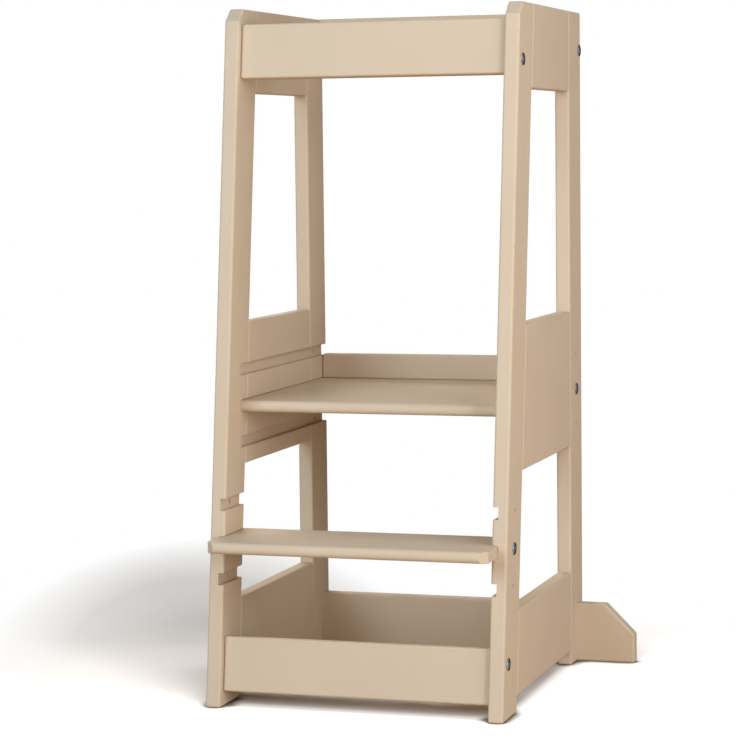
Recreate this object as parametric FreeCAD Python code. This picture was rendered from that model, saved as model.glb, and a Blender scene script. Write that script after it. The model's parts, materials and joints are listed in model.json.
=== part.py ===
"""Toddler kitchen helper stool: a painted wooden tower with a climbing step and a standing platform.

Two mirrored side frames (two legs and three panels each) are joined by rails. The platform and the
step are boards held in milled slots, each at one of three heights, and locked by a bolt per side.

Millimetres. X runs across the tower, -Y is the front where the child climbs in, +Z is up.
The origin is on the floor, under the middle of the whole object's box.
"""
import FreeCAD, Part
import math
import os

from FreeCAD import Placement, Rotation, Vector

os.makedirs("parts", exist_ok=True)

# Driving dimensions: overall form
height = 900.0                    # floor to the top of the side frames
width = 396.0                     # over the outer faces of the side frames
foot_depth = 453.0                # front of the front feet to the rear faces
rake = 7.2                        # lean of the front legs, degrees
top_bevel = 16.0                  # corner cut off the front legs' top
board = 20.0                      # thickness of legs, panels, rails and rear board
leg_width = 70.5
edge_round = 3.0                  # rounding along the boards' edges

# Side panels
ground_gap = 20.0                 # floor to the lower panel and the front bottom rail
lower_panel_height = 110.0
middle_panel_bottom = 304.8
middle_panel_height = 186.0
top_panel_height = 109.0

# Rails between the side frames
rail_width = 71.0
rail_setback = 9.0                # front rails behind the front legs' faces
top_rail_drop = 20.0              # front top rail below the top of the frames
kick_rail_height = 35.0

# Slotted boards and their heights
shelf_board = 15.0                # thickness of platform and step
slot_play = 0.5                   # slot height over board thickness
slot_depth = 7.5                  # slot floor behind the frames' inner faces
slot_bevel = 0.8                  # eased mouth of grooves and slots
end_play = 0.5                    # board end to slot floor, and kick rail to frame
level_pitch = 47.5                # spacing of the three heights
platform_level = 382.0            # centre of the middle platform groove
platform_in_leg = 25.3            # platform's nose in front of the front legs' rear edges, middle height
nose_play = 0.5                   # platform's nose to the groove's closed end
step_level = 212.0                # centre of the middle step slot
step_depth = 135.0
step_behind_leg = 11.0            # step's rear edge behind the front legs' rear edges
step_corner = 10.5                # 45 degree cut on the step's front corners

# Rear board on the floor, which keeps the tower from tipping
rear_board_height = 81.0
rear_board_overhang = 81.0        # beyond each side frame
rear_board_end = 40.0             # height of its plain ends, under the 45 degree cuts
rear_board_inset = 16.0           # rear board's back to the rear legs' rear faces
lap_play = 0.4                    # foot slot over the rear board's thickness

# Fasteners
bolt_diameter = 6.0
bolt_hole = 6.6
head_diameter = 16.0
head_height = 3.0
head_rim = 0.9                    # straight rim under the head's dome
tip_chamfer = 0.6
socket_flats = 4.0
socket_depth = 1.9
rail_bolt_length = 50.0
slot_bolt_length = 20.0
rear_bolt_length = 45.0
bolt_end_play = 1.0               # bolt hole past the bolt's tip
rail_fixing_edge = 19.0           # bolt or dowel to the rail's nearer edge
barrel_nut_diameter = 10.0
barrel_nut_length = 14.0
barrel_nut_distance = 25.0        # nut's axis to the rail's end
insert_diameter = 10.0
insert_length = 12.0
thread_play = 0.1                 # bore of nuts and inserts over the bolt
socket_fit = 0.1                  # holes over nuts, inserts and dowels
dowel_diameter = 8.0
dowel_length = 40.0
rail_dowel_in_leg = 12.0          # depth of a rail's dowel in the leg
panel_dowel_edge = 27.0           # panel dowel to the panel's edge
kick_dowel_length = 28.0
kick_dowel_in_platform = 11.0
kick_dowel_spacing = 130.0
dowel_end_play = 1.0              # hole depth over the dowel, shared by its two ends

LEVELS = (-1, 0, 1)               # lower, middle and upper height
X_AXIS = Vector(1, 0, 0)
Y_AXIS = Vector(0, 1, 0)
Z_AXIS = Vector(0, 0, 1)
OVERCUT = 5.0                     # cutters run this far past a face
TOLERANCE = 0.01                  # for picking out edges by their place or length
HEXAGON = 6

# Places worked out from the driving dimensions
slope = math.tan(math.radians(rake))
leg_span = leg_width / math.cos(math.radians(rake))
outer_x = width / 2
inner_x = outer_x - board
slot_floor_x = inner_x + slot_depth
board_end_x = slot_floor_x - end_play
slot_radius = (shelf_board + slot_play) / 2
step_nose_reach = foot_depth - leg_span - step_level * slope + step_depth - step_behind_leg
rear_y = (step_nose_reach - head_height) / 2
rear_leg_front_y = rear_y - leg_width
rear_leg_axis_y = rear_y - leg_width / 2
platform_nose_y = rear_y - foot_depth + platform_level * slope + leg_span - platform_in_leg


def leg_front_y(z):
    """Front face of the front legs at a height."""
    return rear_y - foot_depth + z * slope


def leg_rear_y(z):
    """Rear edge of the front legs at a height."""
    return leg_front_y(z) + leg_span


def leg_axis_y(z):
    """Middle of the front legs at a height."""
    return leg_front_y(z) + leg_span / 2


def platform_z(level):
    return platform_level + level * level_pitch


def step_z(level):
    return step_level + level * level_pitch


def block(x0, x1, y0, y1, z0, z1):
    """Box between two corners."""
    return Part.makeBox(x1 - x0, y1 - y0, z1 - z0, Vector(x0, y0, z0))


def rod(start, direction, length, diameter):
    """Round bar or hole from a point along a direction."""
    return Part.makeCylinder(diameter / 2, length, start, direction)


def side_board(outline):
    """Board of a side frame on the +X side, from its outline as (y, z) points."""
    points = [Vector(inner_x, y, z) for y, z in outline]
    blank = Part.Face(Part.makePolygon(points + points[:1])).extrude(X_AXIS * board)
    return blank.makeFillet(edge_round, blank.Edges)


def mirrored(shape):
    """The same piece of the other side frame."""
    return shape.mirror(Vector(0, 0, 0), X_AXIS)


def export(name, shapes):
    """One node from one solid, or from a group of like solids."""
    solids = [solid for shape in shapes for solid in shape.Solids]
    shape = solids[0] if len(solids) == 1 else Part.makeCompound(solids)
    for solid in solids:
        if not solid.isValid():
            print("not valid:", name)
    shape.exportStep("parts/" + name + ".step")
    print(name, len(solids), round(shape.Volume, 1))


# ---------------------------------------------------------------- fasteners
def bolt(length):
    """Furniture bolt along -Z: the underside of its domed head lies at the origin."""
    crown = head_height - head_rim
    dome_radius = ((head_diameter / 2) ** 2 + crown ** 2) / (2 * crown)
    dome = Part.makeSphere(dome_radius, Vector(0, 0, head_height - dome_radius))
    head = rod(Vector(0, 0, 0), Z_AXIS, head_height, head_diameter).common(dome)
    corner_radius = socket_flats / 2 / math.cos(math.pi / HEXAGON)
    corners = []
    for corner in range(HEXAGON + 1):
        angle = 2 * math.pi * corner / HEXAGON
        corners.append(Vector(corner_radius * math.cos(angle), corner_radius * math.sin(angle),
                              head_height - socket_depth))
    socket = Part.Face(Part.makePolygon(corners)).extrude(Z_AXIS * head_height)
    shank = rod(Vector(0, 0, -length), Z_AXIS, length, bolt_diameter)
    tip = [edge for edge in shank.Edges if abs(edge.BoundBox.ZMax + length) < TOLERANCE]
    return head.cut(socket).fuse(shank.makeChamfer(tip_chamfer, tip))


def placed(shape, start, direction):
    """Shape made along +Z at the origin, set at a point along a direction."""
    copy = shape.copy()
    copy.Placement = Placement(start, Rotation(Z_AXIS, direction))
    return copy


def threaded_insert():
    """Threaded bush along -Z, flush with its mouth at the origin."""
    body = rod(Vector(0, 0, -insert_length), Z_AXIS, insert_length, insert_diameter)
    return body.cut(rod(Vector(0, 0, -insert_length), Z_AXIS, insert_length, bolt_diameter + thread_play))


def both_sides(shape):
    """A piece and its mirror image on the other side."""
    return [shape, mirrored(shape)]


# ---------------------------------------------------------------- rails and their fixings
def rail_placement(y, z, tilt):
    """Frame of a rail: x across, y through its thickness from the front face, z up its width."""
    return Placement(Vector(0, y, z), Rotation(X_AXIS, -tilt))


front_top_z = height - top_rail_drop - rail_width * math.cos(math.radians(rake))
rail_frames = {
    "front_top": rail_placement(leg_front_y(front_top_z) + rail_setback, front_top_z, rake),
    "rear_top": rail_placement(rear_y - board, height - rail_width, 0),
    "front_bottom": rail_placement(leg_front_y(ground_gap) + rail_setback, ground_gap, rake),
}
# The bolt sits near the rail's edge towards the middle of the tower, the dowel near the other edge.
far_edge = rail_width - rail_fixing_edge
rail_bolt_z = {"front_top": rail_fixing_edge, "rear_top": rail_fixing_edge, "front_bottom": far_edge}
rail_dowel_z = {"front_top": far_edge, "rear_top": far_edge, "front_bottom": rail_fixing_edge}


def rail_point(name, x, y, z):
    """Point given in a rail's own frame."""
    return rail_frames[name].multVec(Vector(x, y, z))


def rail_barrel_nut(name):
    """Cross-bored nut let into the rail from its back face, on the +X side."""
    across = rail_frames[name].Rotation.multVec(Y_AXIS)
    x = inner_x - barrel_nut_distance
    start = rail_point(name, x, (board - barrel_nut_length) / 2, rail_bolt_z[name])
    bore_start = rail_point(name, inner_x, board / 2, rail_bolt_z[name])
    nut = rod(start, across, barrel_nut_length, barrel_nut_diameter)
    return nut.cut(rod(bore_start, -X_AXIS, rail_bolt_length, bolt_diameter + thread_play))


def rail(name):
    """Rail with its bolt bores, nut bores and dowel holes."""
    blank = block(-inner_x, inner_x, 0, board, 0, rail_width)
    shape = blank.makeFillet(edge_round, blank.Edges)
    shape.Placement = rail_frames[name]
    across = rail_frames[name].Rotation.multVec(Y_AXIS)
    holes = [
        rod(rail_point(name, inner_x + OVERCUT, board / 2, rail_bolt_z[name]), -X_AXIS,
            OVERCUT + rail_bolt_length - board + bolt_end_play, bolt_hole),
        rod(rail_point(name, inner_x - barrel_nut_distance, (board - barrel_nut_length) / 2,
                       rail_bolt_z[name]), across, board, barrel_nut_diameter + socket_fit),
        rod(rail_point(name, inner_x + OVERCUT, board / 2, rail_dowel_z[name]), -X_AXIS,
            OVERCUT + dowel_length - rail_dowel_in_leg + dowel_end_play / 2, dowel_diameter + socket_fit),
    ]
    for hole in holes:
        shape = shape.cut(hole).cut(mirrored(hole))
    return shape


def rail_holes_in_leg(name):
    """Bolt hole and dowel hole that a rail needs in the leg on the +X side."""
    bolt_start = rail_point(name, inner_x - OVERCUT, board / 2, rail_bolt_z[name])
    dowel_start = rail_point(name, inner_x - OVERCUT, board / 2, rail_dowel_z[name])
    dowel_depth = OVERCUT + rail_dowel_in_leg + dowel_end_play / 2
    return [rod(bolt_start, X_AXIS, board + 2 * OVERCUT, bolt_hole),
            rod(dowel_start, X_AXIS, dowel_depth, dowel_diameter + socket_fit)]


def rail_dowel(name):
    """Dowel between a rail's end and the leg on the +X side."""
    end_x = inner_x + rail_dowel_in_leg
    return rod(rail_point(name, end_x, board / 2, rail_dowel_z[name]), -X_AXIS, dowel_length, dowel_diameter)


# ---------------------------------------------------------------- slots and holes of the side frames
def slot_run(z, front_y, back_y):
    """Straight slot into the inner face at a height, with an eased mouth, on the +X side."""
    mouth = [(inner_x, slot_radius + slot_bevel), (inner_x + slot_bevel, slot_radius),
             (inner_x + slot_bevel, -slot_radius), (inner_x, -slot_radius - slot_bevel)]
    points = [Vector(x, front_y, z + offset) for x, offset in mouth]
    bevel = Part.Face(Part.makePolygon(points + points[:1])).extrude(Y_AXIS * (back_y - front_y))
    slot = block(inner_x - OVERCUT, slot_floor_x, front_y, back_y, z - slot_radius, z + slot_radius)
    return slot.fuse(bevel)


def groove(level):
    """Platform groove: open at the rear, closed with a round end in the front leg."""
    z = platform_z(level)
    end_y = platform_nose_y - nose_play + slot_radius
    run = slot_run(z, end_y, rear_y + OVERCUT)
    round_end = rod(Vector(inner_x - OVERCUT, end_y, z), X_AXIS, OVERCUT + slot_depth, 2 * slot_radius)
    round_mouth = Part.makeCone(slot_radius + slot_bevel, slot_radius, slot_bevel,
                                Vector(inner_x, end_y, z), X_AXIS)
    return run.fuse([round_end, round_mouth])


def step_slot(level):
    """Step slot, milled through the depth of the front leg."""
    z = step_z(level)
    return slot_run(z, leg_front_y(z) - leg_width, leg_rear_y(z) + leg_width)


def seated_mid(slot_z):
    """Middle of a shelf board that rests on the lower side of the slot centred at a height."""
    return slot_z - slot_radius + shelf_board / 2


def level_hole(y, slot_z):
    """Hole for the bolt that locks the platform or the step in one slot."""
    return rod(Vector(inner_x, y, seated_mid(slot_z)), X_AXIS, board + OVERCUT, bolt_hole)


def dowel_pair_cut(y, z):
    """Hole for a dowel that crosses a joint of the side frame."""
    depth = dowel_length + dowel_end_play
    return rod(Vector(inner_x + board / 2, y - depth / 2, z), Y_AXIS, depth, dowel_diameter + socket_fit)


top_panel_bottom = height - top_panel_height
panel_spans = {
    "lower_panel": (ground_gap, ground_gap + lower_panel_height),
    "middle_panel": (middle_panel_bottom, middle_panel_bottom + middle_panel_height),
    "top_panel": (top_panel_bottom, height),
}
# The middle panel's dowels lie between the grooves and above the upper one.
panel_dowel_heights = {
    "lower_panel": [ground_gap + panel_dowel_edge, ground_gap + lower_panel_height - panel_dowel_edge],
    "middle_panel": [platform_level + level_pitch * share for share in (-0.5, 0.5, 1.75)],
    "top_panel": [top_panel_bottom + panel_dowel_edge, height - panel_dowel_edge],
}
frame_dowel_places = []
for panel_name, dowel_heights in panel_dowel_heights.items():
    for dowel_z in dowel_heights:
        frame_dowel_places.append((leg_rear_y(dowel_z), dowel_z))
        frame_dowel_places.append((rear_leg_front_y, dowel_z))


def with_cuts(shape, cutters):
    """Shape less each cutter in turn."""
    for cutter in cutters:
        shape = shape.cut(cutter)
    return shape


# ---------------------------------------------------------------- side frame pieces, +X side
def front_leg():
    """Raked leg, its top front corner bevelled, with step slots and the grooves' closed ends."""
    outline = [
        (leg_front_y(0), 0),
        (leg_rear_y(0), 0),
        (leg_rear_y(height), height),
        (leg_front_y(height) + top_bevel, height),
        (leg_front_y(height - top_bevel), height - top_bevel),
    ]
    cutters = [groove(level) for level in LEVELS] + [step_slot(level) for level in LEVELS]
    cutters += [level_hole(leg_axis_y(step_z(level)), step_z(level)) for level in LEVELS]
    cutters += rail_holes_in_leg("front_top") + rail_holes_in_leg("front_bottom")
    cutters += [dowel_pair_cut(y, z) for y, z in frame_dowel_places if y < rear_leg_front_y]
    return with_cuts(side_board(outline), cutters)


def rear_leg():
    """Upright leg with the grooves' open ends and a slot in its foot for the rear board."""
    outline = [(rear_leg_front_y, 0), (rear_y, 0), (rear_y, height), (rear_leg_front_y, height)]
    back_y = rear_y - rear_board_inset + lap_play / 2
    foot_slot = block(inner_x - OVERCUT, outer_x + OVERCUT, back_y - board - lap_play, back_y,
                      -OVERCUT, rear_board_height)
    cutters = [groove(level) for level in LEVELS] + [foot_slot] + rail_holes_in_leg("rear_top")
    cutters += [level_hole(rear_leg_axis_y, platform_z(level)) for level in LEVELS]
    cutters += [dowel_pair_cut(y, z) for y, z in frame_dowel_places if y == rear_leg_front_y]
    cutters += [rear_bolt_hole(), rear_insert_hole()]
    return with_cuts(side_board(outline), cutters)


def panel(name):
    """Panel between the legs; the middle one carries the platform grooves."""
    bottom, top = panel_spans[name]
    outline = [(leg_rear_y(bottom), bottom), (rear_leg_front_y, bottom),
               (rear_leg_front_y, top), (leg_rear_y(top), top)]
    cutters = [dowel_pair_cut(y, z) for y, z in frame_dowel_places if bottom < z < top]
    if name == "middle_panel":
        cutters += [groove(level) for level in LEVELS]
    return with_cuts(side_board(outline), cutters)


# ---------------------------------------------------------------- rear board and its bolts
rear_board_front_y = rear_y - rear_board_inset - board
rear_bolt_start = Vector(inner_x + board / 2, rear_y, rear_board_height / 2)


def rear_bolt_hole():
    """Hole from the leg's rear face through the foot and the rear board."""
    return rod(rear_bolt_start + Y_AXIS * OVERCUT, -Y_AXIS, OVERCUT + rear_bolt_length + bolt_end_play,
               bolt_hole)


def rear_insert_hole():
    """Seat of the threaded insert, bored into the foot from its slot."""
    start = Vector(rear_bolt_start.x, rear_board_front_y, rear_bolt_start.z)
    return rod(start, -Y_AXIS, insert_length + lap_play, insert_diameter + socket_fit)


def rear_board():
    """Long board on the floor, its upper ends cut at 45 degrees."""
    end_x = outer_x + rear_board_overhang
    cut = rear_board_height - rear_board_end
    half = [(end_x, 0), (end_x, rear_board_end), (end_x - cut, rear_board_height)]
    outline = half + [(-x, z) for x, z in reversed(half)]
    points = [Vector(x, rear_board_front_y, z) for x, z in outline]
    blank = Part.Face(Part.makePolygon(points + points[:1])).extrude(Y_AXIS * board)
    return with_cuts(blank.makeFillet(edge_round, blank.Edges), both_sides(rear_bolt_hole()))


# ---------------------------------------------------------------- platform, kick rail and step
def nosed_board(nose_y, back_y, bottom_z):
    """Shelf board across the tower, its front edge a full half round."""
    radius = shelf_board / 2
    top_z = bottom_z + shelf_board
    x = -board_end_x
    nose = Part.Arc(Vector(x, nose_y + radius, bottom_z), Vector(x, nose_y, bottom_z + radius),
                    Vector(x, nose_y + radius, top_z)).toShape()
    rest = Part.makePolygon([Vector(x, nose_y + radius, top_z), Vector(x, back_y, top_z),
                             Vector(x, back_y, bottom_z), Vector(x, nose_y + radius, bottom_z)])
    blank = Part.Face(Part.Wire([nose] + rest.Edges)).extrude(X_AXIS * 2 * board_end_x)
    back_edges = [edge for edge in blank.Edges if edge.BoundBox.YMin > back_y - TOLERANCE
                  and abs(edge.Length - 2 * board_end_x) < TOLERANCE]
    return blank.makeFillet(edge_round, back_edges)


def insert_place(y, z):
    """Mouth of a threaded insert in a slotted board's end, on the +X side."""
    return Vector(board_end_x, y, z)


def insert_seat(y, z):
    """Bore that holds a threaded insert."""
    return rod(insert_place(y, z) + X_AXIS * OVERCUT, -X_AXIS, OVERCUT + insert_length,
               insert_diameter + socket_fit)


platform_bottom = platform_z(0) - slot_radius
platform_top = platform_bottom + shelf_board
platform_mid = seated_mid(platform_z(0))
step_bottom = step_z(0) - slot_radius
step_mid = seated_mid(step_z(0))
kick_dowel_y = rear_y - board / 2
kick_dowel_xs = [kick_dowel_spacing * count for count in (-1, 0, 1)]


def kick_dowel_holes():
    """Holes that cross the joint between the platform and the kick rail."""
    start_z = platform_top - kick_dowel_in_platform - dowel_end_play / 2
    return [rod(Vector(x, kick_dowel_y, start_z), Z_AXIS, kick_dowel_length + dowel_end_play,
                dowel_diameter + socket_fit) for x in kick_dowel_xs]


def platform():
    """Standing board in the middle grooves, slid in from the rear."""
    shape = nosed_board(platform_nose_y, rear_y, platform_bottom)
    seats = both_sides(insert_seat(rear_leg_axis_y, platform_mid))
    return with_cuts(shape, seats + kick_dowel_holes())


def kick_rail():
    """Low rail dowelled on the platform's rear edge, so that a foot can't slip off."""
    reach = inner_x - end_play
    blank = block(-reach, reach, rear_y - board, rear_y, platform_top, platform_top + kick_rail_height)
    return with_cuts(blank.makeFillet(edge_round, blank.Edges), kick_dowel_holes())


def step():
    """Climbing board in the middle step slots, its front corners cut off."""
    nose_y = rear_y - step_nose_reach
    shape = nosed_board(nose_y, nose_y + step_depth, step_bottom)
    corner = [Vector(board_end_x + step_corner, nose_y - step_corner, 0),
              Vector(board_end_x + step_corner, nose_y + 2 * step_corner, 0),
              Vector(board_end_x - 2 * step_corner, nose_y - step_corner, 0)]
    shift = Vector(0, 0, step_bottom - OVERCUT)
    wedge = Part.Face(Part.makePolygon([point + shift for point in corner + corner[:1]]))
    wedge = wedge.extrude(Z_AXIS * (shelf_board + 2 * OVERCUT))
    seats = both_sides(insert_seat(leg_axis_y(step_z(0)), step_mid))
    return with_cuts(shape, both_sides(wedge) + seats)


# ---------------------------------------------------------------- write the nodes
side_pieces = {"front_leg": front_leg(), "rear_leg": rear_leg()}
for panel_name in panel_spans:
    side_pieces[panel_name] = panel(panel_name)
frame_dowels = [rod(Vector(inner_x + board / 2, y - dowel_length / 2, z), Y_AXIS, dowel_length,
                    dowel_diameter) for y, z in frame_dowel_places]
for piece_name, piece in side_pieces.items():
    export("right_" + piece_name, [piece])
    export("left_" + piece_name, [mirrored(piece)])
export("right_frame_dowels", frame_dowels)
export("left_frame_dowels", [mirrored(dowel) for dowel in frame_dowels])

rail_bolt = bolt(rail_bolt_length)
for rail_name in rail_frames:
    head_place = rail_point(rail_name, outer_x, board / 2, rail_bolt_z[rail_name])
    export(rail_name + "_rail", [rail(rail_name)])
    export(rail_name + "_bolts", both_sides(placed(rail_bolt, head_place, X_AXIS)))
    export(rail_name + "_barrel_nuts", both_sides(rail_barrel_nut(rail_name)))
export("rail_dowels", [dowel for rail_name in rail_frames for dowel in both_sides(rail_dowel(rail_name))])

export("platform", [platform()])
export("kick_rail", [kick_rail()])
export("kick_rail_dowels", [rod(Vector(x, kick_dowel_y, platform_top - kick_dowel_in_platform), Z_AXIS,
                                kick_dowel_length, dowel_diameter) for x in kick_dowel_xs])
export("step", [step()])
slot_bolt = bolt(slot_bolt_length)
for shelf_name, fixing_y, fixing_z in (("platform", rear_leg_axis_y, platform_mid),
                                       ("step", leg_axis_y(step_z(0)), step_mid)):
    head_place = Vector(outer_x, fixing_y, fixing_z)
    export(shelf_name + "_bolts", both_sides(placed(slot_bolt, head_place, X_AXIS)))
    insert = placed(threaded_insert(), insert_place(fixing_y, fixing_z), X_AXIS)
    export(shelf_name + "_inserts", both_sides(insert))

export("rear_board", [rear_board()])
export("rear_board_bolts", both_sides(placed(bolt(rear_bolt_length), rear_bolt_start, Y_AXIS)))
rear_insert = placed(threaded_insert(),
                     Vector(rear_bolt_start.x, rear_board_front_y - lap_play / 2, rear_bolt_start.z), Y_AXIS)
export("rear_board_inserts", both_sides(rear_insert))
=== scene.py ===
"""Looks of the toddler kitchen helper stool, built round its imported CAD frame.

Metres, +X right as seen from the front, -Y front, +Z up, the floor at z = 0.
"""

import json
import math

import bpy
import bmesh
from mathutils import Matrix, Vector

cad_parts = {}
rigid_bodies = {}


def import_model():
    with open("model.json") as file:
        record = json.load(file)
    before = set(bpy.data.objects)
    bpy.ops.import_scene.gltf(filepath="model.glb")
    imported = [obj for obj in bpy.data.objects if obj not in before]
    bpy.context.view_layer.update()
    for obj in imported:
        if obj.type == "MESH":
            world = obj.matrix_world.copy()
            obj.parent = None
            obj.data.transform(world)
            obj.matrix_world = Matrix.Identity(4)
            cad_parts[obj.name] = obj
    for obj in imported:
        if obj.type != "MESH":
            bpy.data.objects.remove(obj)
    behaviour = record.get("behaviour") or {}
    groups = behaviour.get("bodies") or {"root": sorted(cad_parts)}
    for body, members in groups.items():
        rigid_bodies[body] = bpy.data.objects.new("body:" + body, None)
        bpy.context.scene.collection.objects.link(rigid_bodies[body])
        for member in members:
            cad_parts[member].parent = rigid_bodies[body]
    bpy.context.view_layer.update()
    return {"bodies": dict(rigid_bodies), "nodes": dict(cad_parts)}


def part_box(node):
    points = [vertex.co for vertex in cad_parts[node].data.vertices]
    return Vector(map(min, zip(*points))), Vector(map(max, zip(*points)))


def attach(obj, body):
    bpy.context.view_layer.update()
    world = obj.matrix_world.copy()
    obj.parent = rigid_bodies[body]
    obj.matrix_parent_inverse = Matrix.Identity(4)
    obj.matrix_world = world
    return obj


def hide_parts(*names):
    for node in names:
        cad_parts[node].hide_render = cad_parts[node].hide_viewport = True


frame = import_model()
nodes = frame["nodes"]
root = next(iter(frame["bodies"]))

# ------------------------------------------------------------------ legs
# Two raked front legs and two upright rear legs of solid pine, planed to 20 mm, every edge rounded by a
# router, slots milled and holes bored. They are sanded and then sprayed with an opaque matt beige paint,
# so that the grain, which runs up each leg, only shows as a faint ripple.
BEIGE = (0.650, 0.520, 0.385)
BEIGE_THIN = (0.636, 0.502, 0.366)       # thinner coat, where the primer's warmth shows
PAINT_ROUGHNESS = (0.70, 0.80)
PAINT_GLOSS = 0.02                       # specular level of a dead matt lacquer
GRAIN_SPACING = 0.0032
GRAIN_STRETCH = 30.0
GRAIN_RIPPLE = 0.00007                   # depth of the ripple that the grain leaves in the coat
CLOUD_SIZE = 0.10
PEEL_SIZE = 0.0012
PEEL_DEPTH = 0.00002
NIB_SPACING = 0.055                      # the few specks of dust under the coat
NIB_RADIUS = 0.0006
NIB_COLOUR = (0.200, 0.120, 0.065)


class Field:
    """What a node tree works out at each point of a piece, so that its formulas read as plain sums."""

    def __init__(self, socket):
        self.socket = socket
        self.tree = socket.id_data

    def __add__(self, other):
        return maths("ADD", self, other)

    def __sub__(self, other):
        return maths("SUBTRACT", self, other)

    def __mul__(self, other):
        return maths("MULTIPLY", self, other)

    def __truediv__(self, other):
        return maths("DIVIDE", self, other)

    def __neg__(self):
        return maths("MULTIPLY", self, -1)


def plug(value, socket):
    """Gives a node's input a field or a fixed value; a colour is written without its alpha."""
    if isinstance(value, Field):
        socket.id_data.links.new(value.socket, socket)
    elif socket.type == "RGBA":
        socket.default_value = (*value, 1)
    else:
        socket.default_value = value


def made(tree, kind, settings=None, take=0, **inputs):
    """What a new node gives, after its settings and its inputs, whose names have _ for a space."""
    node = tree.nodes.new(kind)
    for setting, value in (settings or {}).items():
        setattr(node, setting, value)
    for label, value in inputs.items():
        plug(value, node.inputs[label.replace("_", " ")])
    return Field(node.outputs[take])


def maths(operation, *values):
    """Math node on fields and numbers."""
    tree = next(value.tree for value in values if isinstance(value, Field))
    result = made(tree, "ShaderNodeMath", {"operation": operation})
    for place, value in enumerate(values):
        plug(value, result.socket.node.inputs[place])
    return result


def new_material(name):
    """Material, the inputs of its shader and its object coordinates."""
    material = bpy.data.materials.new(name)
    material.use_nodes = True
    tree = material.node_tree
    shader = next(node for node in tree.nodes if node.type == "BSDF_PRINCIPLED")
    return material, shader.inputs, made(tree, "ShaderNodeTexCoord", take="Object")


def mapped(place, rotation=(0, 0, 0), scale=(1, 1, 1)):
    """Coordinates turned and then scaled."""
    turned_place = made(place.tree, "ShaderNodeMapping", Vector=place, Rotation=rotation)
    return made(place.tree, "ShaderNodeMapping", Vector=turned_place, Scale=scale)


def noise(place, size, detail=3.0, roughness=0.5):
    """Noise whose blobs are about the given size in metres."""
    return made(place.tree, "ShaderNodeTexNoise", Vector=place, Scale=1 / size, Detail=detail,
                Roughness=roughness)


def cells(place, size, take):
    """Distance or colour of round cells of about the given size in metres."""
    return made(place.tree, "ShaderNodeTexVoronoi", take=take, Vector=place, Scale=1 / size)


def remap(value, low, high, start=0.3, end=0.7):
    """Value from start..end moved to low..high; most of a noise lies between 0.3 and 0.7."""
    return made(value.tree, "ShaderNodeMapRange", Value=value, From_Min=start, From_Max=end, To_Min=low,
                To_Max=high)


def blend_colours(share, first, second):
    """Colour between two, at a share from 0 to 1."""
    return made(share.tree, "ShaderNodeMix", {"data_type": "RGBA"}, take="Result", Factor=share, A=first,
                B=second)


def bump(height, depth):
    """Normal of a height map whose full range is depth metres."""
    return made(height.tree, "ShaderNodeBump", Height=height, Distance=depth, Strength=1.0)


def matt_paint(name, along, tilt=0.0):
    """Opaque matt paint on a board whose grain runs along X, Y or Z, after a turn of tilt about X."""
    material, shader, place = new_material(name)
    stretch = [1.0, 1.0, 1.0]
    stretch["XYZ".index(along)] = 1 / GRAIN_STRETCH
    along_grain = mapped(place, rotation=(tilt, 0, 0), scale=stretch)

    cloud = noise(place, CLOUD_SIZE, detail=2.0)
    coat = blend_colours(remap(cloud, 0.0, 1.0), BEIGE, BEIGE_THIN)
    nib_share = NIB_RADIUS / NIB_SPACING
    in_nib = remap(cells(place, NIB_SPACING, "Distance"), 1.0, 0.0, 0.5 * nib_share, nib_share)
    plug(blend_colours(in_nib, coat, NIB_COLOUR), shader["Base Color"])
    plug(remap(cloud, *PAINT_ROUGHNESS), shader["Roughness"])
    plug(PAINT_GLOSS, shader["Specular IOR Level"])

    ripple = bump(noise(along_grain, GRAIN_SPACING, detail=4.0, roughness=0.6), GRAIN_RIPPLE)
    peel = bump(noise(place, PEEL_SIZE, detail=1.0), PEEL_DEPTH)
    plug(ripple, peel.socket.node.inputs["Normal"])
    plug(peel, shader["Normal"])
    return material


def finish(material, *node_names):
    """CAD nodes take a finish."""
    for node_name in node_names:
        for material_slot in nodes[node_name].material_slots:
            material_slot.material = material


def middle(node_name):
    """Middle of a CAD node's box."""
    low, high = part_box(node_name)
    return (Vector(low) + Vector(high)) / 2


rise = middle("front_top_rail") - middle("front_bottom_rail")
rake = math.atan2(rise.y, rise.z)
finish(matt_paint("paint_on_raked_grain", "Z", tilt=rake), "right_front_leg", "left_front_leg")
finish(matt_paint("paint_on_upright_grain", "Z"), "right_rear_leg", "left_rear_leg")

# ------------------------------------------------------------------ side panels
# Three boards between the legs of each side, of the same planed pine with rounded edges, their grain from
# front to back. The middle one has the three grooves that carry the platform.
panel_paint = matt_paint("paint_on_grain_from_front_to_back", "Y")
for side in ("right", "left"):
    finish(panel_paint, side + "_lower_panel", side + "_middle_panel", side + "_top_panel")

# ------------------------------------------------------------------ rails
# Two top rails and a front bottom rail of the same pine, their grain across the tower. The front ones lean
# with the front legs. A bolt and a dowel at each end hold them between the two side frames.
across_paint = matt_paint("paint_on_grain_across_the_tower", "X")
finish(across_paint, "front_top_rail", "rear_top_rail", "front_bottom_rail")

# ------------------------------------------------------------------ platform and kick rail
# A 15 mm board with a full round nose, slid into the grooves of both side frames and locked by two bolts.
# A low rail, dowelled on along its rear edge, keeps feet from slipping off behind.
finish(across_paint, "platform", "kick_rail")

# ------------------------------------------------------------------ step
# A 15 mm board with a full round nose and cut front corners. It lies in milled slots of the front legs, at
# one of three heights, and a bolt through each leg locks it.
finish(across_paint, "step")

# ------------------------------------------------------------------ rear board
# A 20 mm board with 45 degree ends, longer than the tower is wide, so that the tower doesn't tip. It stands
# on the floor in an open slot of each rear leg's foot and is bolted on from behind.
finish(across_paint, "rear_board")

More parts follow.
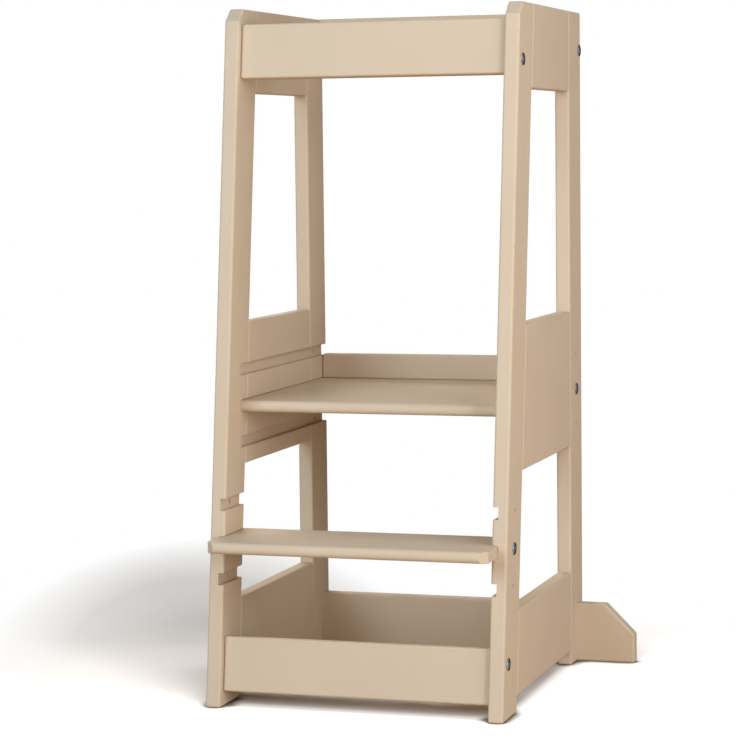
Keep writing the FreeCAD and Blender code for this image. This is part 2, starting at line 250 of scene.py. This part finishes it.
# ------------------------------------------------------------------ dowels
# Fluted beech dowels, 8 mm thick, cut from a pressed rod and chamfered at both ends. They are glued half
# into each board of a joint, and the flutes let the glue and the air out.
BEECH = (0.560, 0.365, 0.205)
BEECH_DARK = (0.400, 0.235, 0.120)
BEECH_ROUGHNESS = 0.7
BEECH_GLOSS = 0.3
PORE_SIZE = 0.0006
PORE_STRETCH = 14.0
PORE_DEPTH = 0.00005
PORE_EDGES = (0.45, 0.75)                # noise at which a pore begins and is full
MERGE = 0.00002                          # points closer than this are one
CREASE = math.radians(32)                # edges sharper than this stay sharp
OWN_PLACE = "own_place"                  # attribute with a point's place in its own piece, before seating


def new_tree(name, sizes):
    """Geometry tree whose inputs are places, a material and the named sizes, and a way to each input."""
    tree = bpy.data.node_groups.new(name, "GeometryNodeTree")
    face = tree.interface
    face.new_socket("Places", in_out="INPUT", socket_type="NodeSocketGeometry")
    face.new_socket("Material", in_out="INPUT", socket_type="NodeSocketMaterial")
    for label, value in sizes.items():
        kind = "NodeSocketInt" if isinstance(value, int) else "NodeSocketFloat"
        face.new_socket(label, in_out="INPUT", socket_type=kind).default_value = value
    face.new_socket("Pieces", in_out="OUTPUT", socket_type="NodeSocketGeometry")
    inputs = tree.nodes.new("NodeGroupInput").outputs
    return tree, lambda label: Field(inputs[label])


def pick(index, values):
    """The value at an index, which is a field."""
    picked = made(index.tree, "GeometryNodeIndexSwitch", {"data_type": "FLOAT"})
    switch = picked.socket.node
    while len(switch.index_switch_items) < len(values):
        switch.index_switch_items.new()
    plug(index, switch.inputs["Index"])
    for place, value in enumerate(values):
        plug(value, switch.inputs[place + 1])
    return Field(switch.outputs[0])


def at_ring(ring, profile):
    """Radius and height of a ring of a turned piece, whose profile is a list of both."""
    return [pick(ring, values) for values in zip(*profile)]


def rings_and_angles(steps):
    """Ring number and angle of each point of a turned piece that has so many steps around."""
    index = made(steps.tree, "GeometryNodeInputIndex")
    around = steps + 1
    ring = maths("FLOOR", (index + 0.5) / around)
    angle = (index - ring * around) / steps * (-2 * math.pi)
    return ring, angle


def turned(count, steps, angle, radius, height):
    """Closed piece turned about Z: each point of count rings goes to its radius and height."""
    tree = angle.tree
    grid = made(tree, "GeometryNodeMeshGrid", Vertices_X=count, Vertices_Y=steps + 1)
    place = made(tree, "ShaderNodeCombineXYZ", X=radius * maths("COSINE", angle),
                 Y=radius * maths("SINE", angle), Z=height)
    shape = made(tree, "GeometryNodeSetPosition", Geometry=grid, Position=place)
    return made(tree, "GeometryNodeMergeByDistance", Geometry=shape, Distance=MERGE)


def pin(given, steps, ring, angle, side):
    """Round pin with chamfered ends, whose side has its own radius."""
    half = given("Length") * 0.5
    shoulder = half - given("Chamfer")
    tip = given("Diameter") * 0.5 - given("Chamfer")
    profile = [(0.0, -half), (tip, -half), (side, -shoulder), (side, shoulder), (tip, half), (0.0, half)]
    return turned(len(profile), steps, angle, *at_ring(ring, profile))


def seat(given, shape):
    """Puts the shape at each place, its Z along the place's axis and turned by its spin, as real mesh."""
    tree = shape.tree
    vector_field = {"data_type": "FLOAT_VECTOR"}
    marked = made(tree, "GeometryNodeStoreNamedAttribute", vector_field, Geometry=shape, Name=OWN_PLACE,
                  Value=made(tree, "GeometryNodeInputPosition"))
    fold = made(tree, "GeometryNodeInputMeshEdgeAngle", take="Unsigned Angle")
    smooth = made(tree, "GeometryNodeSetShadeSmooth", {"domain": "EDGE"}, Geometry=marked,
                  Shade_Smooth=maths("LESS_THAN", fold, CREASE))

    axis = made(tree, "GeometryNodeInputNamedAttribute", vector_field, take="Attribute", Name="axis")
    spin = made(tree, "GeometryNodeInputNamedAttribute", {"data_type": "FLOAT"}, take="Attribute",
                Name="spin")
    along = made(tree, "FunctionNodeAlignRotationToVector", {"axis": "Z"}, Vector=axis)
    level = made(tree, "FunctionNodeAlignRotationToVector", {"axis": "X", "pivot_axis": "Z"},
                 Rotation=along, Vector=(1, 0, 0))
    about = made(tree, "FunctionNodeAxisAngleToRotation", Axis=(0, 0, 1), Angle=spin)
    turn = made(tree, "FunctionNodeRotateRotation", {"rotation_space": "LOCAL"}, Rotation=level,
                Rotate_By=about)

    placed = made(tree, "GeometryNodeInstanceOnPoints", Points=given("Places"), Instance=smooth,
                  Rotation=turn)
    real = made(tree, "GeometryNodeRealizeInstances", Geometry=placed)
    dressed = made(tree, "GeometryNodeSetMaterial", Geometry=real, Material=given("Material"))
    plug(dressed, tree.nodes.new("NodeGroupOutput").inputs["Pieces"])


def solids(node_name):
    """Low and high corner of each separate solid of a CAD node, sorted by place."""
    merged = bmesh.new()
    merged.from_mesh(nodes[node_name].data)
    bmesh.ops.remove_doubles(merged, verts=merged.verts, dist=1e-6)
    boxes = []
    waiting = set(merged.verts)
    while waiting:
        reached = [waiting.pop()]
        group = list(reached)
        while reached:
            for edge in reached.pop().link_edges:
                for vertex in edge.verts:
                    if vertex in waiting:
                        waiting.remove(vertex)
                        reached.append(vertex)
                        group.append(vertex)
        low = Vector([min(vertex.co[way] for vertex in group) for way in range(3)])
        high = Vector([max(vertex.co[way] for vertex in group) for way in range(3)])
        boxes.append((low, high))
    merged.free()
    return sorted(boxes, key=lambda box: tuple(round(part, 4) for part in box[0]))


def long_axis(low, high):
    """Unit vector along a box's longest side, away from the tower's middle, and that side's length."""
    sides = high - low
    way = max(range(3), key=lambda place: sides[place])
    axis = Vector((0, 0, 0))
    axis[way] = -1.0 if way == 0 and low.x + high.x < 0 else 1.0
    return axis, sides[way]


def fit(node_name, tree, material, places, sizes=None):
    """One mesh in place of a CAD node: the tree's shape at each (point, axis, spin)."""
    mesh = bpy.data.meshes.new(node_name + "_places")
    mesh.from_pydata([point for point, axis, spin in places], [], [])
    axes = mesh.attributes.new("axis", "FLOAT_VECTOR", "POINT")
    axes.data.foreach_set("vector", [part for point, axis, spin in places for part in axis])
    spins = mesh.attributes.new("spin", "FLOAT", "POINT")
    spins.data.foreach_set("value", [spin for point, axis, spin in places])
    piece = bpy.data.objects.new(node_name + "_detailed", mesh)
    bpy.context.scene.collection.objects.link(piece)
    modifier = piece.modifiers.new("shape", "NODES")
    modifier.node_group = tree
    values = {"Material": material, **(sizes or {})}
    for socket in tree.interface.items_tree:
        if socket.in_out == "INPUT" and socket.name in values:
            modifier[socket.identifier] = values[socket.name]
    evaluated = piece.evaluated_get(bpy.context.evaluated_depsgraph_get())
    shaped = bpy.data.meshes.new_from_object(evaluated)
    piece.modifiers.remove(modifier)
    piece.data = shaped
    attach(piece, root)
    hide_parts(node_name)


def own_place(place):
    """Coordinates in each small piece's own frame, with Z along its axis."""
    return made(place.tree, "ShaderNodeAttribute", {"attribute_name": OWN_PLACE}, take="Vector")


dowel_tree, given = new_tree("fluted_dowel", {
    "Length": 0.040, "Diameter": 0.008, "Chamfer": 0.0008, "Flutes": 18, "Flute Depth": 0.0003,
    "Steps Per Flute": 6})
steps = given("Flutes") * given("Steps Per Flute")
ring, angle = rings_and_angles(steps)
wave = maths("COSINE", angle * given("Flutes"))
fluted = given("Diameter") * 0.5 - maths("MAXIMUM", wave, 0) * given("Flute Depth")
seat(given, pin(given, steps, ring, angle, fluted))

beech, shader, place = new_material("beech_dowel_rod")
pores = noise(mapped(own_place(place), scale=(1, 1, 1 / PORE_STRETCH)), PORE_SIZE, detail=2.0)
plug(blend_colours(remap(pores, 0.0, 1.0, *PORE_EDGES), BEECH, BEECH_DARK), shader["Base Color"])
plug(bump(pores, PORE_DEPTH), shader["Normal"])
plug(BEECH_ROUGHNESS, shader["Roughness"])
plug(BEECH_GLOSS, shader["Specular IOR Level"])

for dowel_node in ("right_frame_dowels", "left_frame_dowels", "rail_dowels", "kick_rail_dowels"):
    places = []
    for low, high in solids(dowel_node):
        axis, length = long_axis(low, high)
        places.append(((low + high) / 2, axis, 0.0))
    fit(dowel_node, dowel_tree, beech, places, {"Length": length})

# ------------------------------------------------------------------ furniture bolts
# Twelve M6 furniture bolts with low domed heads and hexagon sockets, cold-headed and thread-rolled, then
# bright nickel-plated. Six hold the rails, four lock the platform and the step, two hold the rear board.
HEAD_HEIGHT = 0.0030
THREAD_LENGTH = 0.022
PLAIN_SHANK = 0.004                      # the least that is left without thread under the head
SHOULDER_RINGS = 6
DOME_RINGS = 6
DRILL_POINT = 0.25                       # depth of the socket's pointed floor over its half width
TURN = math.radians(37)                  # each bolt stopped at its own angle when it was tightened
FIRST_TURN = 4                           # so many such turns for the first bolt
NICKEL = (0.200, 0.202, 0.207)
NICKEL_EDGE = (0.0, 0.0, 0.0)            # tint at a glancing angle, where the head goes dark
NICKEL_ROUGHNESS = (0.04, 0.12)
SMEAR_SIZE = 0.0020
DIE_RING_SPACING = 0.0004                # fine rings that the heading die leaves
DIE_RING_DEPTH = 0.000002


def threaded(steps, ring, angle, below, above, turns, root, depth, start, pitch):
    """Turned piece with a thread between the rings below and above it, both lists of radius and height."""
    thread_rings = turns * 2 + 1
    thread_ring = ring - len(below)
    after_thread = maths("MAXIMUM", thread_ring - thread_rings, 0)
    crest = maths("FLOORED_MODULO", thread_ring, 2)
    thread = (root + crest * depth, start + thread_ring * (pitch * 0.5))
    part = (maths("GREATER_THAN", thread_ring, -0.5)
            + maths("GREATER_THAN", thread_ring, thread_rings - 0.5))
    stages = zip(at_ring(ring, below), thread, at_ring(after_thread, above))
    radius, height = [pick(part, stage) for stage in stages]
    return turned(thread_rings + (len(below) + len(above)), steps, angle, radius, height)


bolt_tree, given = new_tree("furniture_bolt", {
    "Shank Length": 0.050, "Shank Diameter": 0.0060, "Thread Length": THREAD_LENGTH,
    "Thread Pitch": 0.0010, "Thread Depth": 0.0004, "Head Diameter": 0.0160,
    "Head Height": HEAD_HEIGHT, "Head Rim": 0.0005, "Rim Rounding": 0.0002, "Shoulder": 0.0024,
    "Socket Flats": 0.0040, "Socket Depth": 0.0019, "Socket Lead-in": 0.0003, "Steps Around": 48})
steps = given("Steps Around")
ring, angle = rings_and_angles(steps)
shank = given("Shank Diameter") * 0.5
thread_root = shank - given("Thread Depth")
tip_height = -given("Shank Length")
below_thread = [(0.0, tip_height), (thread_root - given("Thread Depth"), tip_height)]

# The head's dome is part of a sphere, and its shoulder a quarter of an ellipse from the rim to the dome.
head = given("Head Diameter") * 0.5
crown = given("Head Height") - given("Head Rim")
dome = (head * head + crown * crown) / (crown * 2)
dome_middle = given("Head Height") - dome


def on_dome(radius):
    """Height of the dome at a radius."""
    return dome_middle + maths("SQRT", dome * dome - radius * radius)


above_thread = [(shank, 0.0), (head - given("Rim Rounding"), 0.0), (head, given("Rim Rounding"))]
shoulder_top = head - given("Shoulder")
shoulder_rise = on_dome(shoulder_top) - given("Head Rim")
for shoulder_ring in range(SHOULDER_RINGS):
    sweep = math.pi / 2 * shoulder_ring / SHOULDER_RINGS
    above_thread.append((shoulder_top + given("Shoulder") * math.cos(sweep),
                         given("Head Rim") + shoulder_rise * math.sin(sweep)))

# The dome ends at the socket's mouth. A ring of the hexagon is nearest the axis at the middle of each flat
# side, and the socket's floor keeps the shallow point of the drill.
flats = given("Socket Flats") * 0.5
mouth = flats / math.cos(math.pi / 6) + given("Socket Lead-in")
for dome_ring in range(DOME_RINGS):
    share = dome_ring / (DOME_RINGS - 1)
    radius = shoulder_top * (1 - share) + mouth * share
    above_thread.append((radius, on_dome(radius)))
from_flat = maths("FLOORED_MODULO", angle, math.pi / 3) - math.pi / 6
hexagon = flats / maths("COSINE", from_flat)
socket_floor = given("Head Height") - given("Socket Depth")
above_thread.append((hexagon, on_dome(mouth) - given("Socket Lead-in")))
above_thread.append((hexagon, socket_floor))
above_thread.append((0.0, socket_floor - flats * DRILL_POINT))

seat(given, threaded(
    steps, ring, angle, below_thread, above_thread, root=thread_root, depth=given("Thread Depth"),
    turns=maths("FLOOR", given("Thread Length") / given("Thread Pitch")),
    start=tip_height + given("Thread Depth"), pitch=given("Thread Pitch")))

nickel, shader, place = new_material("bright_nickel_plate")
plug(NICKEL, shader["Base Color"])
plug(NICKEL_EDGE, shader["Specular Tint"])
plug(1.0, shader["Metallic"])
smear = noise(own_place(place), SMEAR_SIZE)
plug(remap(smear, *NICKEL_ROUGHNESS), shader["Roughness"])


def length_of(vector):
    """Length of a vector."""
    return made(vector.tree, "ShaderNodeVectorMath", {"operation": "LENGTH"}, take="Value", Vector=vector)


from_axis = length_of(mapped(own_place(place), scale=(1, 1, 0)))
die_rings = maths("SINE", from_axis * (2 * math.pi / DIE_RING_SPACING))
plug(bump(die_rings, DIE_RING_DEPTH), shader["Normal"])

outer_face, back_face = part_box("right_rear_leg")[1][:2]
for pair, bolt_node in enumerate(("front_top_bolts", "rear_top_bolts", "front_bottom_bolts",
                                  "platform_bolts", "step_bolts", "rear_board_bolts")):
    places = []
    for low, high in solids(bolt_node):
        seat_point = (low + high) / 2
        axis, whole_length = long_axis(low, high)
        if axis.y:
            seat_point.y = back_face
        else:
            seat_point.x = outer_face * axis.x
        places.append((seat_point, axis, TURN * (FIRST_TURN + 2 * pair + len(places))))
    shank_length = whole_length - HEAD_HEIGHT
    fit(bolt_node, bolt_tree, nickel, places,
        {"Shank Length": shank_length, "Thread Length": min(THREAD_LENGTH, shank_length - PLAIN_SHANK)})

# ------------------------------------------------------------------ barrel nuts
# Cross-bored steel barrel nuts, zinc-plated, let into the rails from behind. The rail bolts pull on them,
# and the slot in the end that shows lets a screwdriver line the thread up with the bolt.
BORE_SIDES = 32
CUT_REACH = 1.5                          # length of the bore's and the slot's cutters over the diameter
ZINC = (0.50, 0.51, 0.53)
ZINC_PALE = (0.60, 0.60, 0.60)
ZINC_ROUGHNESS = (0.30, 0.45)
CRYSTAL_SIZE = 0.0022                    # dull patches of the plating's crystals
nut_tree, given = new_tree("barrel_nut", {
    "Length": 0.0140, "Diameter": 0.0100, "Chamfer": 0.0006, "Thread Bore": 0.0061,
    "Slot Width": 0.0012, "Slot Depth": 0.0014, "Steps Around": 48})
ring, angle = rings_and_angles(given("Steps Around"))
body = pin(given, given("Steps Around"), ring, angle, given("Diameter") * 0.5)
bore = made(nut_tree, "GeometryNodeMeshCylinder", take="Mesh", Vertices=BORE_SIDES,
            Radius=given("Thread Bore") * 0.5, Depth=given("Diameter") * CUT_REACH)
bore = made(nut_tree, "GeometryNodeTransform", Geometry=bore, Rotation=(0, math.pi / 2, 0))
slot_size = made(nut_tree, "ShaderNodeCombineXYZ", X=given("Diameter") * CUT_REACH,
                 Y=given("Slot Width"), Z=given("Slot Depth") * 2)
slot_middle = made(nut_tree, "ShaderNodeCombineXYZ", Z=given("Length") * 0.5)
slot = made(nut_tree, "GeometryNodeMeshCube", take="Mesh", Size=slot_size)
slot = made(nut_tree, "GeometryNodeTransform", Geometry=slot, Translation=slot_middle)
nut = made(nut_tree, "GeometryNodeMeshBoolean", {"operation": "DIFFERENCE", "solver": "EXACT"},
           take="Mesh", Mesh_1=body, Mesh_2=bore)
plug(slot, nut.socket.node.inputs["Mesh 2"])
seat(given, nut)

zinc, shader, place = new_material("zinc_plate")
crystals = cells(own_place(place), CRYSTAL_SIZE, "Color")
crystal_tone = made(place.tree, "ShaderNodeSeparateColor", take="Red", Color=crystals)
crystal_polish = made(place.tree, "ShaderNodeSeparateColor", take="Green", Color=crystals)
plug(blend_colours(crystal_tone, ZINC, ZINC_PALE), shader["Base Color"])
plug(remap(crystal_polish, *ZINC_ROUGHNESS, 0.0, 1.0), shader["Roughness"])
plug(1.0, shader["Metallic"])

for rail_name, lean in (("front_top", rake), ("rear_top", 0.0), ("front_bottom", rake)):
    to_back = Vector((0, math.cos(lean), -math.sin(lean)))
    places = [((low + high) / 2, to_back, 0.0) for low, high in solids(rail_name + "_barrel_nuts")]
    fit(rail_name + "_barrel_nuts", nut_tree, zinc, places)

# ------------------------------------------------------------------ threaded inserts
# Zinc-alloy bushes with a coarse wood thread outside and M6 inside, screwed into the ends of the platform
# and the step and into the rear legs' feet, flush with the wood. The slot and foot bolts go into them.
insert_tree, given = new_tree("threaded_insert", {
    "Length": 0.0120, "Diameter": 0.0100, "Bore": 0.0061, "Edge": 0.0005, "Collar": 0.0014,
    "Wood Thread Depth": 0.0010, "Wood Threads": 4, "Steps Around": 40})
ring, angle = rings_and_angles(given("Steps Around"))
outside = given("Diameter") * 0.5
inside = given("Bore") * 0.5
edge = given("Edge")
bottom = -given("Length")
collar = -given("Collar")
collar_and_bore = [(outside, collar), (outside, -edge), (outside - edge, 0.0), (inside + edge, 0.0),
                   (inside, -edge), (inside, bottom)]
seat(given, threaded(
    given("Steps Around"), ring, angle, [(inside, bottom)], collar_and_bore,
    turns=given("Wood Threads"), root=outside - given("Wood Thread Depth"),
    depth=given("Wood Thread Depth"), start=bottom, pitch=(collar - bottom) / given("Wood Threads")))

for insert_node in ("platform_inserts", "step_inserts", "rear_board_inserts"):
    places = []
    for low, high in solids(insert_node):
        axis, length = long_axis(low, high)
        places.append(((low + high) / 2 + axis * length / 2, axis, 0.0))
    fit(insert_node, insert_tree, zinc, places, {"Length": length})

# ------------------------------------------------------------------ studio floor
# A plain pale sweep. It shows its own tone, lit by its lamps, close round the feet and in the patch at the
# rear left where the tower's soft shadow falls, and turns into pure white further out. Right against the
# wood it carries a painted contact shadow. It throws little light back at the wood.
FLOOR_HALF = 6.0
FLOOR_SHADE = (0.62, 0.60, 0.585)
FLOOR_THROW = (0.20, 0.145, 0.095)
FEET_RADIUS = 0.40
FEET_FADE = 1.4                          # times that radius, the floor is white
SHADOW_MIDDLE = (-0.36, 0.18, 0.0)
SHADOW_RADII = (0.27, 0.86, 1.0)
SHADOW_TURN = math.radians(20)
SHADOW_FADE = (0.70, 1.20)               # shares of the patch's radii between which it turns white
CONTACT_REACH = 0.022                    # how far from the wood the painted contact shadow reaches
CONTACT_OPENNESS = (0.5, 0.9)            # share of open room where it is darkest and where it ends
CONTACT_SAMPLES = 16
# colour of the painted contact shadow, right against the wood
PAINTED_CONTACT_SHADOW = (0.085, 0.070, 0.055)


def seen_ray(tree):
    """1 for camera, glossy and transmission rays, 0 for the others."""
    camera, glossy, through = [made(tree, "ShaderNodeLightPath", take="Is " + kind + " Ray")
                               for kind in ("Camera", "Glossy", "Transmission")]
    return maths("MAXIMUM", maths("MAXIMUM", camera, glossy), through)


def mixed_shaders(share, first, second):
    """Mix of two shaders."""
    mix = made(share.tree, "ShaderNodeMixShader", Fac=share)
    plug(first, mix.socket.node.inputs[1])
    plug(second, mix.socket.node.inputs[2])
    return mix


mesh = bpy.data.meshes.new("studio_floor")
mesh.from_pydata([(-FLOOR_HALF, -FLOOR_HALF, 0), (FLOOR_HALF, -FLOOR_HALF, 0),
                  (FLOOR_HALF, FLOOR_HALF, 0), (-FLOOR_HALF, FLOOR_HALF, 0)], [], [(0, 1, 2, 3)])
floor = bpy.data.objects.new("studio_floor", mesh)
bpy.context.scene.collection.objects.link(floor)
material = bpy.data.materials.new("studio_floor")
material.use_nodes = True
tree = material.node_tree
tree.nodes.clear()
place = made(tree, "ShaderNodeTexCoord", take="Object")
in_patch = made(tree, "ShaderNodeMapping", {"vector_type": "TEXTURE"}, Vector=place,
                Location=SHADOW_MIDDLE, Rotation=(0, 0, SHADOW_TURN), Scale=SHADOW_RADII)
past_patch = remap(length_of(in_patch), 0.0, 1.0, *SHADOW_FADE)
past_feet = remap(length_of(place), 0.0, 1.0, FEET_RADIUS, FEET_RADIUS * FEET_FADE)
# Painted contact shadow: the floor's colour goes darker where ambient occlusion finds wood within reach.
openness = made(tree, "ShaderNodeAmbientOcclusion", {"samples": CONTACT_SAMPLES}, take="AO",
                Distance=CONTACT_REACH)
painted_contact_shadow_share = remap(openness, 1.0, 0.0, *CONTACT_OPENNESS)
lit_tone_with_painted_contact_shadow = made(tree, "ShaderNodeBsdfDiffuse",
                Color=blend_colours(painted_contact_shadow_share, FLOOR_SHADE, PAINTED_CONTACT_SHADOW))
white = made(tree, "ShaderNodeEmission", Strength=1.0)
shown = mixed_shaders(maths("MINIMUM", past_patch, past_feet), lit_tone_with_painted_contact_shadow, white)
thrown = made(tree, "ShaderNodeBsdfDiffuse", Color=FLOOR_THROW)
output = tree.nodes.new("ShaderNodeOutputMaterial")
plug(mixed_shaders(seen_ray(tree), thrown, shown), output.inputs["Surface"])
mesh.materials.append(material)

# ------------------------------------------------------------------ backdrop and lamps
# White for what looks at it, dim for the light it gives. A cool softbox stands front left, a strip in front,
# a tall softbox and a low strip on the right, a warmer softbox behind on the left and a weak one overhead.
# The floor's own lamps keep it white and lay the tower's soft shadow to the left, as in the photograph.
BACKDROP_FILL = 0.01
LAMP_AIM = (0, 0, 0.45)
world = bpy.data.worlds.new("white_backdrop")
bpy.context.scene.world = world
world.use_nodes = True
background = world.node_tree.nodes["Background"].inputs
plug(remap(seen_ray(world.node_tree), BACKDROP_FILL, 1.0, 0.0, 1.0), background["Strength"])
plug((1, 1, 1), background["Color"])


def lit_by(name, state):
    """Collection that holds the floor, to be lit alone or left out by a lamp."""
    group = bpy.data.collections.new(name)
    group.objects.link(floor)
    group.collection_objects[0].light_linking.link_state = state
    return group


def softbox(name, azimuth, elevation, distance, size, power, colour, receivers):
    """Lamp round the tower that faces its middle; azimuth 0 is in front, 90 on the right."""
    lamp = bpy.data.lights.new(name, "AREA")
    lamp.shape = "RECTANGLE"
    lamp.size, lamp.size_y = size
    lamp.energy = power
    lamp.color = colour
    lamp_object = bpy.data.objects.new(name, lamp)
    bpy.context.scene.collection.objects.link(lamp_object)
    turn = Matrix.Rotation(math.radians(azimuth), 4, "Z") @ Matrix.Rotation(math.radians(-elevation), 4, "X")
    direction = turn @ Vector((0, -1, 0))
    lamp_object.location = Vector(LAMP_AIM) + direction * distance
    lamp_object.rotation_euler = direction.to_track_quat("Z", "Y").to_euler()
    lamp_object.light_linking.receiver_collection = receivers


tower = lit_by("all_but_the_floor", "EXCLUDE")
softbox("front_left_softbox", -25, 20, 3.0, (1.6, 1.6), 55, (0.72, 0.86, 1.00), tower)
softbox("front_strip", 14, 14, 3.2, (0.4, 2.4), 16, (0.95, 0.98, 1.00), tower)
softbox("tall_right_softbox", 64, 20, 2.0, (1.8, 2.2), 27, (0.97, 0.99, 1.00), tower)
softbox("low_right_strip", 45, 5, 2.6, (0.35, 1.6), 13, (0.97, 0.99, 1.00), tower)
softbox("rear_left_softbox", -145, 16, 3.0, (1.8, 1.8), 84, (1.00, 0.93, 0.84), tower)
softbox("overhead_softbox", 180, 78, 2.6, (1.6, 1.6), 9, (1.00, 0.96, 0.90), tower)
only_floor = lit_by("the_floor_alone", "INCLUDE")
softbox("floor_lamp", 35, 42, 3.6, (1.5, 1.5), 180, (1.00, 1.00, 1.00), only_floor)
softbox("floor_side_lamp", 80, 40, 3.2, (2.0, 2.0), 90, (1.00, 1.00, 1.00), only_floor)
softbox("floor_fill", -5, 25, 3.5, (2.0, 2.0), 230, (1.00, 1.00, 1.00), only_floor)

# ------------------------------------------------------------------ camera
# The photograph's viewpoint: a long lens a little right of the front and above the tower's middle, looking
# slightly down and rolled by less than a degree.
VIEW_AZIMUTH = math.radians(17.456)
VIEW_ELEVATION = math.radians(4.840)
VIEW_ROLL = math.radians(0.655)
VIEW_PLACE = (0.9916, -3.2816, 0.7153)
LENS = 126.22
SENSOR = 36.0
camera_data = bpy.data.cameras.new("photo_view")
camera_data.lens = LENS
camera_data.sensor_width = SENSOR
camera = bpy.data.objects.new("photo_view", camera_data)
bpy.context.scene.collection.objects.link(camera)
camera.matrix_world = (Matrix.Translation(VIEW_PLACE) @ Matrix.Rotation(VIEW_AZIMUTH, 4, "Z")
                       @ Matrix.Rotation(math.pi / 2 - VIEW_ELEVATION, 4, "X")
                       @ Matrix.Rotation(-VIEW_ROLL, 4, "Z"))
bpy.context.scene.camera = camera
bpy.context.scene.view_settings.view_transform = "Standard"
